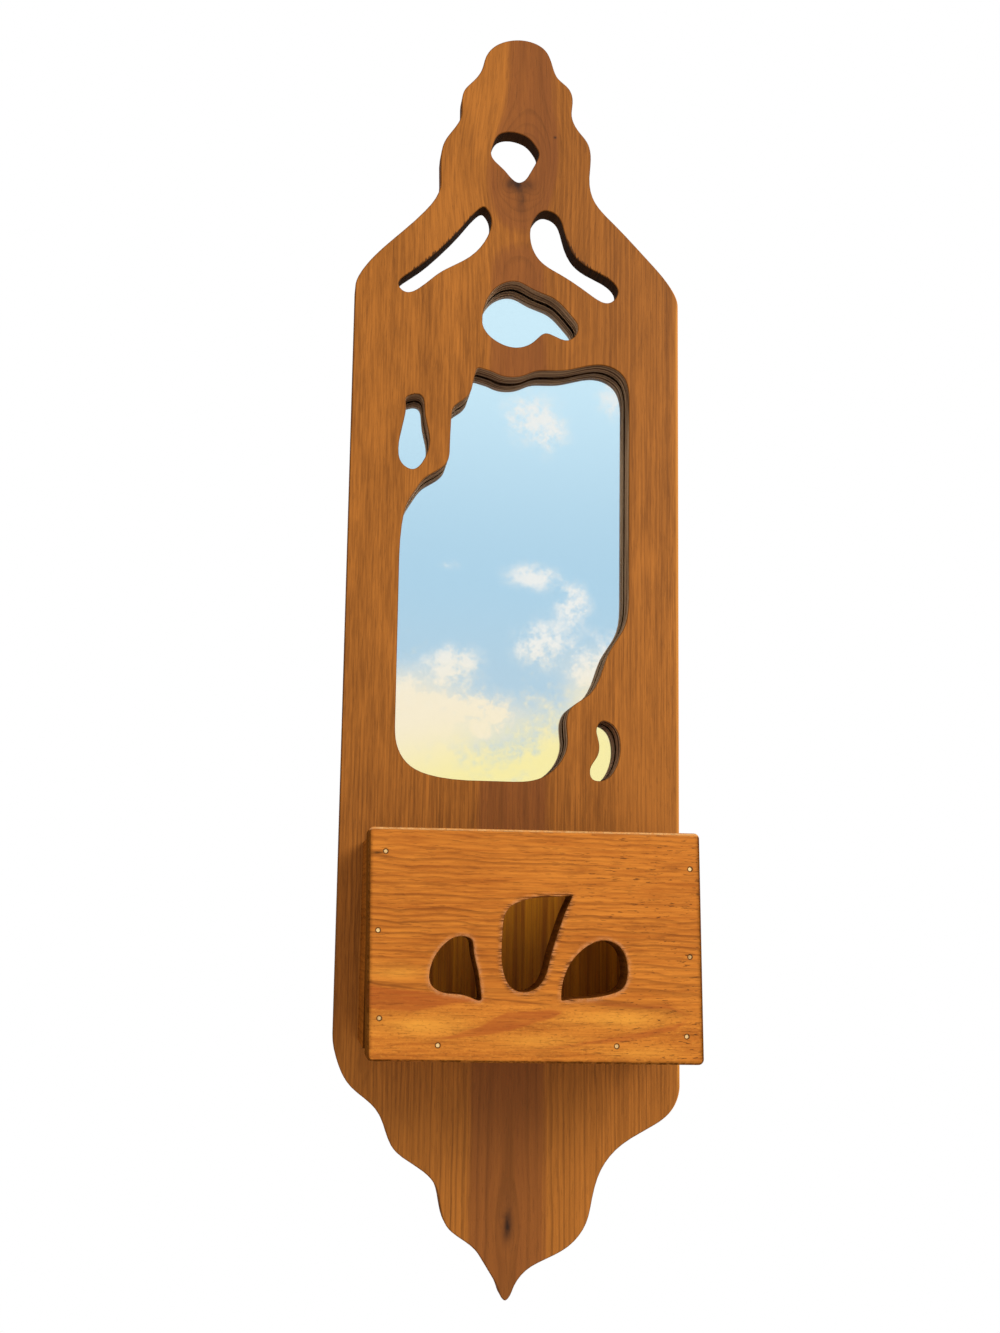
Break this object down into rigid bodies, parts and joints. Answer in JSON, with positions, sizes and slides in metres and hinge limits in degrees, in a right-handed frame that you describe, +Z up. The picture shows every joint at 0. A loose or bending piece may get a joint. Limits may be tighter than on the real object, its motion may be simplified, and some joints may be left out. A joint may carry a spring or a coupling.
{
  "type": "wall mirror with storage",
  "caption": "Scroll-sawn wooden wall board with a free-form mirror window, pierced crown and pointed foot, and an open-topped storage box fixed across its lower part.",
  "frame": {"origin": "bearing notch of the sawtooth hanger, on the wall plane, on the board's centre line", "axes": "+Z up along the board, +Y into the wall (the front faces -Y), +X to the right as seen from the front"},
  "size_m": [0.203, 0.104, 0.769],
  "materials": {
    "board_wood": "brown stain, satin varnish",
    "panel_wood": "golden stain, satin varnish",
    "box_wood": "brown stain, satin varnish",
    "mirror_glass": "clear, polished",
    "silvering": "silvered, grey painted rear",
    "clip_metal": "zinc plated",
    "hanger_metal": "brass plated",
    "screw_zinc": "zinc plated",
    "nail_steel": "bright steel",
    "felt": "brown felt"
  },
  "bodies": {
    "root": {"backboard": "board_wood", "box_front": "panel_wood", "box_left_side": "box_wood", "box_right_side": "box_wood", "box_bottom": "box_wood", "large_mirror_glass": "mirror_glass", "small_mirror_glass": "mirror_glass", "large_mirror_silvering": "silvering", "small_mirror_silvering": "silvering", "sawtooth_hanger": "hanger_metal", "hanger_nails": "nail_steel", "left_wall_pad": "felt", "right_wall_pad": "felt", "large_clip_screws": "screw_zinc", "small_clip_screws": "screw_zinc", "large_clip_left_upper": "clip_metal", "large_clip_left_lower": "clip_metal", "large_clip_right_upper": "clip_metal", "large_clip_right_lower": "clip_metal", "large_clip_bottom_left": "clip_metal", "large_clip_bottom_right": "clip_metal", "small_clip_left": "clip_metal", "small_clip_right": "clip_metal", "small_clip_top": "clip_metal", "front_nails_left": "nail_steel", "front_nails_right": "nail_steel", "front_nails_bottom": "nail_steel", "side_nails_left": "nail_steel", "side_nails_right": "nail_steel", "board_screws_left": "screw_zinc", "board_screws_right": "screw_zinc", "board_screws_bottom": "screw_zinc"}
  },
  "joints": []
}
